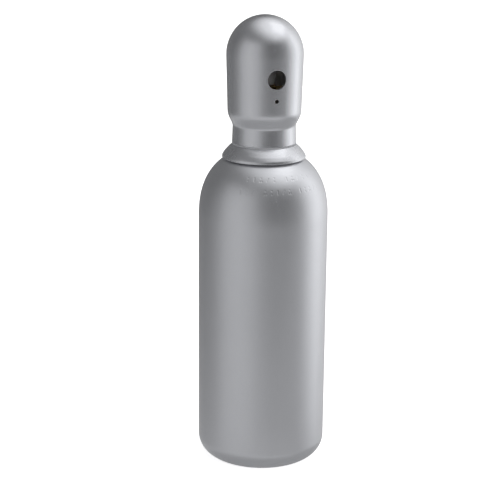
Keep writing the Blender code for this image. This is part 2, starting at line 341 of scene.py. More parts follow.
def paint(name, wear_top, wear_fade, rough):
    """Silver paint with fine metal flake. It is chipped below the height wear_top (metres)."""
    n = Nodes(name)
    flake = n.noise(2600.0, 2.0, 0.6)
    cloud = n.noise(9.0, 4.0, 0.55)
    drift = n.noise(34.0, 3.0, 0.6, n.scaled(1.0, 1.0, 0.35))
    dull, bright = grey(0.47, SILVER_COOL), grey(0.58, SILVER_COOL)
    colour = n.mix(n.span(flake, 0.3, 0.7, 0.0, 1.0), dull, bright)
    colour = n.mix(n.span(cloud, 0.35, 0.7, 0.0, 0.35), colour, dull)
    worn = n.span(n.height(), wear_top - wear_fade, wear_top, 1.0, 0.0)
    chips = n.span(n.noise(420.0, 5.0, 0.7), 0.58, 0.62, 0.0, 1.0)
    bare = n.math("MULTIPLY", worn, chips)
    colour = n.mix(bare, colour, grey(0.20))
    n.set("Base Color", colour)
    n.set("Metallic", 0.8)
    spread = n.span(drift, 0.3, 0.7, rough - 0.02, rough + 0.04)
    n.set("Roughness", n.math("ADD", spread, n.math("MULTIPLY", bare, 0.15)))
    peel = n.bump(n.noise(200.0, 2.0, 0.5), 0.03, 0.0004)
    n.set("Normal", n.bump(flake, 0.10, 0.00006, peel))
    return n.material


def primer(name):
    """Pale matt zinc primer, thin and a little blotchy, as on the unpainted inside of a cap."""
    n = Nodes(name)
    blotch = n.noise(45.0, 4.0, 0.6)
    grain = n.noise(1300.0, 3.0, 0.6)
    n.set("Base Color", n.mix(n.span(blotch, 0.3, 0.7, 0.0, 1.0), grey(0.80), grey(0.70)))
    n.set("Roughness", n.span(grain, 0.3, 0.7, 0.65, 0.85))
    n.set("Normal", n.bump(grain, 0.2, 0.00012))
    return n.material


def cast_brass(name):
    n = Nodes(name)
    tarnish = n.noise(70.0, 5.0, 0.6)
    grain = n.noise(1500.0, 3.0, 0.6)
    colour = n.mix(n.span(tarnish, 0.35, 0.7, 0.0, 1.0), (0.73, 0.53, 0.25, 1), (0.55, 0.37, 0.16, 1))
    n.set("Base Color", colour)
    n.set("Metallic", 1.0)
    n.set("Roughness", n.span(tarnish, 0.3, 0.7, 0.30, 0.46))
    n.set("Normal", n.bump(grain, 0.18, 0.00012))
    return n.material


def turned_metal(name, light, dark, low, high, rings=1800.0, metal=1.0):
    """Machined metal with fine tool marks round the turning axis."""
    n = Nodes(name)
    marks = n.noise(1.0, 3.0, 0.7, n.scaled(40.0, 40.0, rings))
    stain = n.noise(120.0, 4.0, 0.6)
    n.set("Base Color", n.mix(n.span(stain, 0.35, 0.75, 0.0, 1.0), light, dark))
    n.set("Metallic", metal)
    n.set("Roughness", n.span(stain, 0.3, 0.7, low, high))
    n.set("Normal", n.bump(marks, 0.22, 0.00006))
    return n.material


def enamel(name):
    n = Nodes(name)
    specks = n.noise(900.0, 3.0, 0.6)
    chips = n.noise(150.0, 5.0, 0.75)
    bare = n.span(chips, 0.70, 0.72, 0.0, 1.0)
    colour = n.mix(n.span(specks, 0.3, 0.7, 0.0, 1.0), grey(0.018), grey(0.032))
    n.set("Base Color", n.mix(bare, colour, grey(0.30)))
    n.set("Roughness", n.span(specks, 0.3, 0.7, 0.30, 0.45))
    n.set("Metallic", n.math("MULTIPLY", bare, 0.9))
    n.set("Normal", n.bump(specks, 0.25, 0.00015))
    return n.material


def fibre(name, dark=grey(0.035), pale=(0.13, 0.12, 0.11, 1.0)):
    n = Nodes(name)
    strands = n.noise(900.0, 6.0, 0.75, n.scaled(1.0, 1.0, 3.0))
    n.set("Base Color", n.mix(n.span(strands, 0.3, 0.7, 0.0, 1.0), dark, pale))
    n.set("Roughness", n.span(strands, 0.3, 0.7, 0.75, 0.95))
    n.set("Normal", n.bump(strands, 0.5, 0.0002))
    return n.material


def plastic(name, light, dark, low, high):
    n = Nodes(name)
    flow = n.noise(60.0, 3.0, 0.5)
    grain = n.noise(1700.0, 2.0, 0.5)
    n.set("Base Color", n.mix(n.span(flow, 0.3, 0.7, 0.0, 1.0), light, dark))
    n.set("Roughness", n.span(grain, 0.3, 0.7, low, high))
    n.set("Normal", n.bump(grain, 0.15, 0.0001))
    return n.material


def dress(obj, material, body, slot, *nodes):
    """Gives a new piece its material and its body, and hides the CAD nodes that it stands for. The slot
    argument is not used.
    """
    obj.data.materials.clear()
    obj.data.materials.append(material)
    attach(obj, body)
    if nodes:
        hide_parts(*nodes)
    return obj


def repaint(node, material):
    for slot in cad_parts[node].material_slots:
        slot.material = material


# ---------------------------------------------------------------- sizes from the CAD frame

BODY_R, _, NECK_TOP = mm_box("cylinder_shell")[1]
RING_LOW, RING_HIGH = mm_box("neck_ring")
CAP_LOW, CAP_HIGH = mm_box("valve_cap")
VALVE_LOW, VALVE_HIGH = mm_box("valve_body")
NUT_LOW, NUT_HIGH = mm_box("packing_nut")
WHEEL_LOW, WHEEL_HIGH = mm_box("handwheel")
STEM_LOW, STEM_HIGH = mm_box("spindle")
PLUG_LOW, PLUG_HIGH = mm_box("outlet_plug")
SAFETY_LOW, SAFETY_HIGH = mm_box("safety_plug")
SEAL_LOW, SEAL_HIGH = mm_box("cap_seal_ring")
OUTLET_Z = (PLUG_LOW[2] + PLUG_HIGH[2]) / 2
SAFETY_Z = (SAFETY_LOW[2] + SAFETY_HIGH[2]) / 2

# Sizes that the boxes do not give, in millimetres. The shoulder is a superellipse of this power.
BASE_CORNER = 28.7
CORNER_STEPS = 18
SHOULDER_Z, SHOULDER_H, SHOULDER_POWER = 348.4, 94.6, 2.38
NECK_R = 30.0
RING_THREAD_R = 39.4
CAP_PITCH = 25.4 / 11
CAP_THREAD_R, CAP_THREAD_TOP = 39.7, 478.0
CAP_WALL = 4.0
CAP_DOME_Z = 571.2
CAP_INSIDE_R, CAP_INSIDE_LOW = 46.1, 496.0
STEP_R, SKIRT_R = 50.0, 43.8
VENT_Z, VENT_R = 543.5, 12.85
SMALL_HOLE_Z, SMALL_HOLE_R = 514.8, 2.75
NUT_BORE_R = 11.3
STUD_BORE_R = 2.9


def shoulder(r, radius=BODY_R, height=SHOULDER_H):
    part = max(0.0, 1.0 - (r / radius) ** SHOULDER_POWER)
    return SHOULDER_Z + height * part ** (1.0 / SHOULDER_POWER)


# ---------------------------------------------------------------- cylinder shell

# Rows of plain inspection punches on the shoulder: the row's radius, its first angle and its pitch in
# degrees, then its marks. b is a bar, p a pair of dots, t three dots, s a slanted bar, and a space is
# no mark.
PUNCH_ROWS = (
    (70.7, -36.0, 7.1, "pbtsp btspbts"),
    (79.9, -41.0, 6.0, "bps tpbst bptsp"),
)
PUNCH_SIZE = 2.4
PUNCH_DEPTH = 0.26
PUNCHED_R = (64.0, 85.0)
PUNCHED_TURN = (-50.0, 52.0)


def dent(x, y, half, lean=0.0, width=0.75):
    """Depth of a rounded groove of half-length half, leaning by lean across its length."""
    along = np.clip(y, -half, half)
    return np.exp(-(((x - lean * along) ** 2 + (y - along) ** 2) / width**2))


def punch_depth(kind, x, y):
    """Share of the full depth that a punch has at (x, y) millimetres from its centre."""
    size = PUNCH_SIZE
    if kind == "b":
        return dent(x, y, size)
    if kind == "s":
        return dent(x, y, size * 0.9, 0.55)
    spots = [(0.0, -size), (0.0, size)]
    if kind == "t":
        spots = [(-1.3, -size), (1.3, -size), (0.0, size * 0.9)]
    return max(dent(x - a, y - b, 0.0, width=0.95) for a, b in spots)


def punched(x, y):
    """Depth of all punches at a point of the shoulder."""
    total = 0.0
    r = math.hypot(x, y)
    turn = math.degrees(math.atan2(x, -y))
    for row_r, start, pitch, kinds in PUNCH_ROWS:
        slope = shoulder(row_r - 0.5) - shoulder(row_r + 0.5)
        up = (row_r - r) * math.hypot(1.0, slope)
        if abs(up) > PUNCH_SIZE + 1.5:
            continue
        for i, kind in enumerate(kinds):
            along = math.radians(turn - start - i * pitch) * r
            if kind != " " and abs(along) < PUNCH_SIZE + 2.0:
                total = max(total, float(punch_depth(kind, along, up)))
    return total * PUNCH_DEPTH


def shell_outline():
    """The shell's whole section: the gas space from its floor to the neck, then the outside to the base."""
    inner_r = BODY_R - 5.0
    inside = [(0.0, 21.0), (25.0, 18.8, 20.0), (42.0, 13.6, 30.0), (54.0, 9.4, 12.0)]
    inside += [(70.0, 8.6, 12.0), (inner_r, 22.0, 14.0), (inner_r, SHOULDER_Z)]
    inside += [(r, shoulder(r, inner_r, 86.0)) for r in (83.5, 81.5, 78.0, 75.0, 70.0, 64.0, 56.0)]
    inside += [(r, shoulder(r, inner_r, 86.0)) for r in (48.0, 38.0, 28.0, 18.0)]
    inside += [(12.9, shoulder(12.9, inner_r, 86.0), 2.0), (12.9, 447.0), (13.9, NECK_TOP, 0.6)]
    neck = [(NECK_R, NECK_TOP, 1.0), (NECK_R, 440.9, 1.6)]
    rise = list(np.linspace(33.0, 63.0, 11)) + list(np.linspace(64.5, 84.0, 14))
    rise += [85.2, 86.3, 87.2, 87.9, 88.4, 88.7, 88.85]
    outside = [(r, shoulder(r)) for r in rise] + [(BODY_R, SHOULDER_Z)]
    outside += [(BODY_R, z) for z in (300.0, 240.0, 180.0, 120.0, 70.0)]
    for k in range(CORNER_STEPS):
        a = math.radians(90.0) * k / CORNER_STEPS
        outside.append((BODY_R - BASE_CORNER * (1.0 - math.cos(a)), BASE_CORNER * (1.0 - math.sin(a))))
    base = [(BODY_R - BASE_CORNER, 0.0), (56.2, 0.0, 1.5), (50.0, 2.4, 10.0)]
    base += [(38.0, 6.8, 20.0), (22.0, 10.8, 30.0), (0.0, 12.5)]
    return rounded(inside, step=10.0) + rounded(neck) + outside + rounded(base, step=5.0)


def make_shell():
    obj = turned("shell", shell_outline(), 240, sharp=40.0)
    shape = bmesh.new()
    shape.from_mesh(obj.data)

    def marked(vert):
        r = math.hypot(vert.co.x, vert.co.y) / MM
        turn = math.degrees(math.atan2(vert.co.x, -vert.co.y))
        on_shoulder = vert.co.z / MM > shoulder(r) - 2.0
        near = PUNCHED_R[0] < r < PUNCHED_R[1] and PUNCHED_TURN[0] < turn < PUNCHED_TURN[1]
        return near and on_shoulder

    # A finer mesh where the punches stand, and then their depth in it.
    chosen = [e for e in shape.edges if marked(e.verts[0]) and marked(e.verts[1])]
    made = bmesh.ops.subdivide_edges(shape, edges=chosen, cuts=5, use_grid_fill=True)
    fresh = {v for v in made["geom_inner"] if isinstance(v, bmesh.types.BMVert)}
    fresh |= {v for e in chosen if e.is_valid for v in e.verts}
    for vert in fresh:
        x, y = vert.co.x / MM, vert.co.y / MM
        r = math.hypot(x, y)
        true_z = shoulder(r)
        slope = (shoulder(r - 0.2) - shoulder(r + 0.2)) / 0.4
        depth = punched(x, y)
        lean = math.hypot(slope, 1.0)
        keep = (r - depth * slope / lean) / r
        vert.co = Vector((x * keep, y * keep, true_z - depth / lean)) * MM
    shape.to_mesh(obj.data)
    shape.free()
    shade(obj.data, 40.0)
    return dress(obj, SHELL_PAINT, "cylinder", "silver_paint", "cylinder_shell")


# ---------------------------------------------------------------- neck ring, seal, cap


def make_neck_ring():
    bore, land = NECK_R + 0.3, 449.3
    top, lip = RING_HIGH[2], RING_HIGH[0]
    low = RING_LOW[2]
    boss = [(bore, top, 0.4), (RING_THREAD_R - 1.3, top, 0.3), (RING_THREAD_R, top - 1.5, 0.3)]
    boss += [(RING_THREAD_R, land + 1.4), (RING_THREAD_R - 0.9, land + 0.9, 0.3)]
    boss += [(RING_THREAD_R - 0.9, land, 0.5)]
    flare = [(43.6, land, 1.0), (48.2, 445.2, 14.0), (53.4, 439.5, 16.0), (lip - 0.1, 434.0, 5.0)]
    edge = [(lip, low + 0.4, 0.9), (lip - 2.2, low, 0.9), (50.6, 432.8, 2.0), (45.5, 436.2, 2.0)]
    under = [(41.0, 437.8, 1.0), (36.0, 439.5), (33.2, 440.7, 1.0), (bore, 443.2, 0.5)]
    rows = resampled(rounded(boss + flare + edge + under, True, 10.0), land + 1.4, top - 1.5, 0.24)
    bend = thread(CAP_PITCH, 1.15, land + 1.5, top - 1.2)
    obj = turned("neck_ring_flared", rows, 192, True, bend, sharp=34.0)
    return dress(obj, RING_PAINT, "cylinder", "silver_paint", "neck_ring")


def make_seal():
    low, high = SEAL_LOW[2] - 0.22, SEAL_HIGH[2] + 0.22
    outer = SEAL_HIGH[0] + 0.35
    corners = [(39.8, high, 0.25), (outer, high, 0.45), (outer, low, 0.45), (39.8, low, 0.25)]
    obj = turned("seal_ring", rounded(corners, True), 160, True)
    return dress(obj, DUSTY_FIBRE, "cap_seal", "dark_fibre", "cap_seal_ring")


def make_cap():
    low, top = CAP_LOW[2], CAP_HIGH[2]
    dome_r, dome_z = CAP_HIGH[0], CAP_DOME_Z
    outer = []
    for i in range(25):
        a = math.radians(90.0 - 90.0 * i / 24)
        outer.append((dome_r * math.cos(a), dome_z + (top - dome_z) * math.sin(a)))
    outer[0] = (0.0, top)
    side = [(dome_r, dome_z)]
    for t in (0.12, 0.24, 0.36, 0.48, 0.6, 0.72, 0.84):
        side.append((dome_r + (STEP_R - dome_r) * t, dome_z + (490.8 - dome_z) * t))
    step = [(STEP_R, 490.5, 24.0), (43.0, 476.2, 12.0), (SKIRT_R, low, 0.8)]
    inner = [(CAP_THREAD_R + 1.2, low, 0.4), (CAP_THREAD_R, low + 1.4, 0.3)]
    inner += [(CAP_THREAD_R, CAP_THREAD_TOP, 1.5), (45.3, 491.0, 5.0), (CAP_INSIDE_R, CAP_INSIDE_LOW)]
    ceiling = []
    for i in range(19):
        a = math.radians(90.0 * i / 18)
        rise = (top - CAP_WALL - dome_z) * math.sin(a)
        ceiling.append(((dome_r - CAP_WALL) * math.cos(a), dome_z + rise))
    ceiling[-1] = (0.0, top - CAP_WALL)
    wall = []
    across, rise = dome_r - CAP_WALL - CAP_INSIDE_R, dome_z - CAP_INSIDE_LOW
    for t in np.linspace(0.06, 0.94, 14):
        wall.append((CAP_INSIDE_R + across * t, CAP_INSIDE_LOW + rise * t))
    profile = outer + side[1:] + rounded([side[-1]] + step + inner, step=9.0)[1:] + wall + ceiling
    profile = resampled(profile, low + 1.4, 477.6, 0.26)
    fine = [profile[0]]
    for a, b in zip(profile, profile[1:]):
        pieces = max(1, math.ceil(np.linalg.norm(np.subtract(b, a)) / 4.0))
        for k in range(1, pieces + 1):
            fine.append(np.array(a) + (np.array(b) - np.array(a)) * k / pieces)
    cut_thread = thread(CAP_PITCH, 1.1, low + 1.6, 476.0, outward=False)

    def bend(r, z, angles):
        threaded = r < CAP_THREAD_R + 0.5
        return cut_thread(r, z, angles) if threaded else np.full(len(angles), r)

    obj = turned("cap", fine, 192, False, bend, sharp=34.0)
    cutters = []
    for name, z, r in (("vent", VENT_Z, VENT_R), ("lock_hole", SMALL_HOLE_Z, SMALL_HOLE_R)):
        drill = turned(name, [(0.0, 70.0), (r, 70.0), (r, -70.0), (0.0, -70.0)], 72)
        drill.data.transform(Matrix.Rotation(math.pi / 2, 4, "X"))
        drill.data.transform(Matrix.Translation((0.0, 0.0, z * MM)))
        cutters.append(drill)
    cut(obj, *cutters, sharp=34.0)
    dress(obj, CAP_PAINT, "cap", "silver_paint", "valve_cap")
    # The inside above the thread is primed, not painted.
    obj.data.materials.append(PRIMER)
    for face in obj.data.polygons:
        x, y, z = face.center
        outward = Vector((x, y, max(0.0, z - dome_z * MM))).normalized()
        if z > CAP_THREAD_TOP * MM and face.normal.dot(outward) < -0.5:
            face.material_index = 1
    return obj


# ---------------------------------------------------------------- valve


def make_valve_body():
    low, high = VALVE_LOW[2], VALVE_HIGH[2]
    outlet_x, safety_x = VALVE_HIGH[0], -VALVE_LOW[0]
    neck = [(0.0, 529.8), (14.6, 529.8), (14.6, 484.0), (13.4, 482.0), (13.4, 478.0), (0.0, 478.0)]
    trunk = mesh_of(neck, 64)

    def flats(r, z, angles):
        if r <= 17.0:
            return np.full(len(angles), r)
        return np.minimum(r, 15.2 / np.maximum(np.abs(np.sin(angles)), 1e-6))

    grip = [(0.0, 488.6), (18.2, 488.6), (18.7, 487.8), (18.7, 478.3), (18.2, 477.5), (0.0, 477.5)]
    wrench = mesh_of(grip, 96, flats)
    barrel = [(0.0, outlet_x + 3.0), (15.1, outlet_x + 3.0), (15.1, 0.0), (0.0, 0.0)]
    boss = mesh_of(barrel, 72, None, (OUTLET_Z, 1))
    barrel = [(0.0, safety_x + 3.0), (8.1, safety_x + 3.0), (8.1, 0.0), (0.0, 0.0)]
    stub = mesh_of(barrel, 64, None, (SAFETY_Z, -1))
    obj = cast("valve_forging", [trunk, wrench, boss, stub], 0.62, 9)
    face = [(0.0, outlet_x + 9.0), (30.0, outlet_x + 9.0), (30.0, outlet_x), (0.0, outlet_x)]
    facing = turned("facing", face, 48, lay=(OUTLET_Z, 1))
    face = [(0.0, safety_x + 9.0), (20.0, safety_x + 9.0), (20.0, safety_x), (0.0, safety_x)]
    facing_back = turned("facing_back", face, 48, lay=(SAFETY_Z, -1))
    way = [(0.0, high + 3.0), (10.2, high + 3.0), (10.2, 520.0), (7.5, 519.0), (7.5, 506.0)]
    way += [(3.2, 506.0), (3.2, low - 3.0), (0.0, low - 3.0)]
    chamber = turned("chamber", way, 64)
    mouth = [(0.0, outlet_x + 4.0), (14.6, outlet_x + 1.0), (13.1, outlet_x - 0.5), (13.1, 22.0)]
    mouth += [(3.0, 17.5), (3.0, 4.0), (0.0, 4.0)]
    outlet = turned("outlet", mouth, 72, lay=(OUTLET_Z, 1))
    port = [(0.0, safety_x + 4.0), (5.3, safety_x + 4.0), (5.3, 13.0)]
    port += [(1.8, 12.0), (1.8, 1.0), (0.0, 1.0)]
    safety = turned("safety", port, 48, lay=(SAFETY_Z, -1))
    cut(obj, facing, facing_back, chamber, outlet, safety, sharp=38.0)
    return dress(obj, CAST_BRASS, "cylinder", "brass", "valve_body")


def make_valve_threads():
    """The threaded ends of the valve, machined finer than the forging they belong to."""
    low, high = VALVE_LOW[2], VALVE_HIGH[2]
    taper = [(3.25, 478.2), (13.5, 478.2), (13.6, 475.0), (12.65, low + 0.8), (12.0, low), (3.25, low)]
    rows = resampled(taper, low + 0.8, 477.0, 0.2)
    obj = turned("valve_inlet_thread", rows, 128, True, thread(1.81, 0.9, low + 0.5, 477.4), sharp=40.0)
    dress(obj, TURNED_BRASS, "cylinder", "brass")
    collar = [(7.5, high, 0.3), (10.9, high, 0.6), (10.9, 529.6)]
    collar += [(10.1, 529.0), (10.1, 521.0), (7.5, 521.0)]
    rows = resampled(rounded(collar, True), 530.0, high - 0.6, 0.2)
    outer_only = thread(1.5, 0.75, 530.4, high - 0.6)

    def bend(r, z, angles):
        return outer_only(r, z, angles) if r > 10.5 else np.full(len(angles), r)

    obj = turned("valve_top_thread", rows, 128, True, bend, sharp=40.0)
    dress(obj, TURNED_BRASS, "cylinder", "brass")
    x = VALVE_HIGH[0]
    sleeve = [(13.08, x - 1.0), (12.9, 22.6), (12.25, 22.6), (12.25, x - 1.3)]
    rows = resampled(sleeve, 22.6, x - 1.3, 0.22)
    inner_only = thread(25.4 / 14, 0.62, 22.8, x - 1.2, outward=False, runout=0.8)

    def bend_in(r, z, angles):
        return inner_only(r, z, angles) if r < 12.5 else np.full(len(angles), r)

    obj = turned("valve_outlet_thread", rows, 128, True, bend_in, (OUTLET_Z, 1), 40.0)
    dress(obj, TURNED_BRASS, "cylinder", "brass")


def make_wheel_nut():
    box_low, box_high = mm_box("handwheel_nut")
    low, high = box_low[2], box_high[2]
    flats = box_high[1] * 2
    bore = STUD_BORE_R
    corner = flats / 2 / math.cos(TAU / 12)
    drop = (corner - flats / 2) * 0.62
    outer = [(flats / 2 - 0.1, high), (corner, high - drop)]
    outer += [(corner, low + drop), (flats / 2 - 0.1, low)]
    inner = [(bore + 0.35, low), (bore, low + 0.35), (bore, high - 0.35), (bore + 0.35, high)]
    rows = []
    for a, b in zip(outer + inner, (outer + inner)[1:] + outer[:1]):
        for k in range(6 if a[0] != b[0] and a[0] > bore + 1 and b[0] > bore + 1 else 1):
            rows.append((a[0] + (b[0] - a[0]) * k / 6, a[1] + (b[1] - a[1]) * k / 6) if k else a)
    verts, faces = revolve(rows, 96, True, hexagon(flats))
    obj = make_object("wheel_nut", verts, faces, 28.0)
    return dress(obj, TURNED_STEEL, "wheel_group", "bright_steel", "handwheel_nut")


def make_packing_nut():
    low, high = NUT_LOW[2], NUT_HIGH[2]
    flats = NUT_HIGH[1] * 2
    corner = flats / 2 / math.cos(TAU / 12)
    outer = [(12.3, high), (corner, high - 1.7), (corner, low + 1.5), (12.4, low)]
    inner = [(NUT_BORE_R + 0.3, low), (NUT_BORE_R, low + 0.4), (NUT_BORE_R, 549.3)]
    inner += [(4.5, 549.3), (4.5, high - 0.4), (4.9, high)]
    rows = []
    loop = outer + inner
    for a, b in zip(loop, loop[1:] + loop[:1]):
        rows.append(a)
        if a[0] > 12.2 and b[0] > 12.2 and a[0] != b[0]:
            rows += [(a[0] + (b[0] - a[0]) * k / 6, a[1] + (b[1] - a[1]) * k / 6) for k in range(1, 6)]
    verts, faces = revolve(rows, 120, True, hexagon(flats))
    obj = make_object("packing_hex", verts, faces, 28.0)
    return dress(obj, DULL_PLATE, "cylinder", "bright_steel", "packing_nut")


def make_spindle():
    """Collar, round stem, square for the wheel and threaded stud, with a flat tang below the collar."""
    low, top = STEM_LOW[2], STEM_HIGH[2]
    corners = [(0.0, top), (2.55, top, 0.7), (2.55, 580.2), (2.2, 579.6, 0.2), (4.25, 579.5, 0.3)]
    corners += [(4.25, 557.6, 0.2), (4.0, 557.0), (4.0, 535.1, 0.3), (7.15, 535.0, 0.3)]
    corners += [(7.15, 531.2, 0.3), (0.0, 531.2)]
    rows = resampled(rounded(corners), 580.2, top - 0.7, 0.12)
    rows = resampled(rows, 557.6, 579.5, 3.0)
    stud = thread(0.8, 0.42, 580.3, top - 0.2, runout=0.4)

    def bend(r, z, angles):
        if z > 580.0:
            return stud(r, z, angles)
        if z >= 557.3:
            return np.minimum(r, 3.0 / np.maximum(np.abs(np.cos(angles)), np.abs(np.sin(angles))))
        return np.full(len(angles), r)

    verts, faces = revolve(rows, 96, False, bend)
    start = len(verts)
    outline = ((-5.5, -1.1), (5.5, -1.1), (5.5, 1.1), (-5.5, 1.1))
    verts += [(x, y, z) for z in (low, 531.3) for x, y in outline]
    sides = ((0, 3, 2, 1), (4, 5, 6, 7), (0, 1, 5, 4), (1, 2, 6, 5), (2, 3, 7, 6), (3, 0, 4, 7))
    faces += [[start + v for v in side] for side in sides]
    obj = make_object("spindle_turned", verts, faces, 30.0)
    return dress(obj, TURNED_STEEL, "wheel_group", "bright_steel", "spindle")


def make_handwheel():
    """A dished cast wheel with ten finger lobes, five windows and a square hole."""
    low, high = WHEEL_LOW[2], WHEEL_HIGH[2]
    rim_r = 30.6
    corners = [(0.0, high - 0.4), (8.6, high - 0.4, 1.2), (9.6, 574.3, 2.0)]
    corners += [(21.0, 573.0, 2.5), (23.4, 577.6, 2.5)]
    corners += [(28.2, 578.4, 3.0), (rim_r, 573.0, 4.0), (28.6, 565.0, 3.0), (24.2, 565.2, 2.5)]
    corners += [(21.6, 569.2, 2.5), (9.8, 569.0, 2.0), (8.8, low + 0.4, 1.0), (0.0, low + 0.4)]

    def lobes(r, z, angles):
        reach = max(0.0, (r - 22.0) / 9.0)
        dip = 0.5 - 0.5 * np.cos(angles * 10)
        return r - 2.3 * reach * (1.0 - dip) ** 2.2

    verts, faces = revolve(rounded(corners, step=10.0), 240, False, lobes)
    obj = make_object("handwheel_blank", verts, faces)
    windows = []
    for i in range(5):
        a = TAU * (i + 0.5) / 5
        drill = [(0.0, high + 4), (4.5, high + 4), (4.5, low - 4), (0.0, low - 4)]
        cutter = turned(f"window_{i}", drill, 32)
        middle = (16.2 * MM * math.cos(a), 16.2 * MM * math.sin(a), 0.0)
        cutter.data.transform(Matrix.Translation(middle))
        windows.append(cutter)
    cut(obj, *windows)
    remesh = obj.modifiers.new("Skin", "REMESH")
    remesh.mode = "VOXEL"
    remesh.voxel_size = 0.5 * MM
    soften = obj.modifiers.new("Soften", "SMOOTH")
    soften.factor = 0.5
    soften.iterations = 5
    evaluated(obj, 60.0)
    hole = bmesh.new()
    bmesh.ops.create_cube(hole, size=1.0)
    bmesh.ops.scale(hole, verts=hole.verts, vec=(6.7 * MM, 6.7 * MM, 40.0 * MM))
    bmesh.ops.translate(hole, verts=hole.verts, vec=(0.0, 0.0, (low + high) / 2 * MM))
    mesh = bpy.data.meshes.new("square")
    hole.to_mesh(mesh)
    hole.free()
    square = bpy.data.objects.new("square", mesh)
    bpy.context.scene.collection.objects.link(square)
    cut(obj, square, sharp=38.0)
    return dress(obj, ENAMEL, "wheel_group", "wheel_enamel", "handwheel")


def make_washer(name, node):
    low, high = mm_box(node)
    inner, outer, soft = STUD_BORE_R, high[1], 0.15
    corners = [(inner, high[2], soft), (outer, high[2], soft)]
    corners += [(outer, low[2], soft), (inner, low[2], soft)]
    obj = turned(name, rounded(corners, True), 72, True)
    return dress(obj, TURNED_STEEL, "wheel_group", "bright_steel", node)


def make_spring():
    low, high = mm_box("handwheel_spring")
    wire, radius = 0.7, 4.7
    start, end = low[2] + wire, high[2] - wire
    path = []
    turns, per_turn = 3.0, 40
    for i in range(int(turns * per_turn) + 1):
        share = i / (turns * per_turn)
        a = TAU * turns * share
        path.append((radius * math.cos(a), radius * math.sin(a), start + (end - start) * share))
    obj = tube("wheel_spring", path, wire)
    return dress(obj, TURNED_STEEL, "wheel_group", "bright_steel", "handwheel_spring")


def make_outlet_plug():
    face = PLUG_HIGH[0]
    inner = PLUG_LOW[0]
    corners = [(0.0, face - 0.7), (7.6, face - 0.7, 0.4), (8.2, face, 0.4), (12.6, face, 0.5)]
    corners += [(13.0, face - 0.7, 0.3), (12.8, 32.85, 0.3), (11.8, 32.8, 0.2), (11.75, 32.2)]
    corners += [(11.9, 31.4, 0.4), (11.6, 30.6), (11.9, 29.8, 0.4), (11.6, 29.0), (11.9, 28.2, 0.4)]
    corners += [(11.4, inner, 0.5), (9.4, inner, 0.4), (9.6, 32.4, 0.6), (0.0, 32.4)]

    def knurl(r, z, angles):
        deep = 0.28 if r > 12.3 and z < face - 0.2 else 0.0
        return r - deep * (np.cos(angles * 36) > 0.2)

    obj = turned("dust_plug_moulded", rounded(corners), 288, False, knurl, (OUTLET_Z, 1), 30.0)
    cross = bmesh.new()
    for along in ((3.2, 0.75), (0.75, 3.2)):
        made = bmesh.ops.create_cube(cross, size=1.0)
        size = (0.7 * MM, along[0] * 2 * MM, along[1] * 2 * MM)
        bmesh.ops.scale(cross, verts=made["verts"], vec=size)
        bmesh.ops.translate(cross, verts=made["verts"], vec=((face - 0.5) * MM, 0.0, OUTLET_Z * MM))
    bmesh.ops.bevel(cross, geom=list(cross.edges), offset=0.15 * MM, segments=2, affect="EDGES")
    mesh = bpy.data.meshes.new("dust_plug_grip")
    cross.to_mesh(mesh)
    cross.free()
    shade(mesh)
    grip = bpy.data.objects.new("dust_plug_grip", mesh)
    bpy.context.scene.collection.objects.link(grip)
    dress(grip, RED_PLASTIC, "dust_plug", "dust_plug")
    return dress(obj, RED_PLASTIC, "dust_plug", "dust_plug", "outlet_plug")


def make_safety_plug():
    x0, x1 = -SAFETY_HIGH[0], -SAFETY_LOW[0]
    flats = SAFETY_HIGH[1] * 2
    corner = flats / 2 / math.cos(TAU / 12)
    rows = [(0.0, x1), (flats / 2 - 0.3, x1)]
    for k in range(1, 7):
        rows.append((flats / 2 - 0.3 + (corner - flats / 2 + 0.3) * k / 6, x1 - 1.1 * k / 6))
    rows += [(corner, 20.9), (6.9, 20.35), (5.0, 20.3), (5.0, x0 + 0.6), (4.5, x0), (2.0, x0)]
    rows += [(2.0, 23.5), (0.0, 24.3)]
    hexed = hexagon(flats)

    def bend(r, z, angles):
        return hexed(r, z, angles) if z > 20.6 else np.full(len(angles), r)

    verts, faces = revolve(rows, 96, False, bend)
    obj = make_object("safety_hex", along_x(verts, SAFETY_Z, -1), faces, 28.0)
    drills = []
    for k in range(3):
        drill = turned(f"relief_{k}", [(0.0, 12.0), (1.15, 12.0), (1.15, -12.0), (0.0, -12.0)], 24)
        drill.data.transform(Matrix.Rotation(TAU * (k + 0.5) / 6, 4, "X"))
        drill.data.transform(Matrix.Translation((-22.6 * MM, 0.0, SAFETY_Z * MM)))
        drills.append(drill)
    cut(obj, *drills, sharp=28.0)
    return dress(obj, TURNED_BRASS, "cylinder", "brass", "safety_plug")


# ---------------------------------------------------------------- build

# The paint is chipped at the standing ring, at the lower edge of the collar and at the rim of the cap.
SHELL_PAINT = paint("silver_paint_shell", 0.010, 0.008, 0.30)
RING_PAINT = paint("silver_paint_ring", 0.4335, 0.003, 0.25)
CAP_PAINT = paint("silver_paint_cap", 0.4545, 0.003, 0.21)
CAST_BRASS = cast_brass("forged_brass")
TURNED_BRASS = turned_metal("turned_brass", (0.80, 0.60, 0.30, 1), (0.62, 0.43, 0.19, 1), 0.22, 0.36)
TURNED_STEEL = turned_metal("plated_steel", grey(0.60), (0.46, 0.46, 0.44, 1), 0.22, 0.36)
DULL_PLATE = turned_metal("dull_nickel_plate", grey(0.62), grey(0.52), 0.42, 0.54, metal=0.75)
PRIMER = primer("cap_inside_primer")
ENAMEL = enamel("black_enamel")
FIBRE = fibre("dark_fibre_ring")
DUSTY_FIBRE = fibre("fibre_ring_under_overspray", grey(0.20, SILVER_COOL), grey(0.40, SILVER_COOL))
NYLON = plastic("natural_nylon", (0.80, 0.77, 0.68, 1), (0.72, 0.69, 0.60, 1), 0.42, 0.58)
RED_PLASTIC = plastic("red_dust_plastic", (0.50, 0.035, 0.025, 1), (0.38, 0.025, 0.02, 1), 0.38, 0.55)

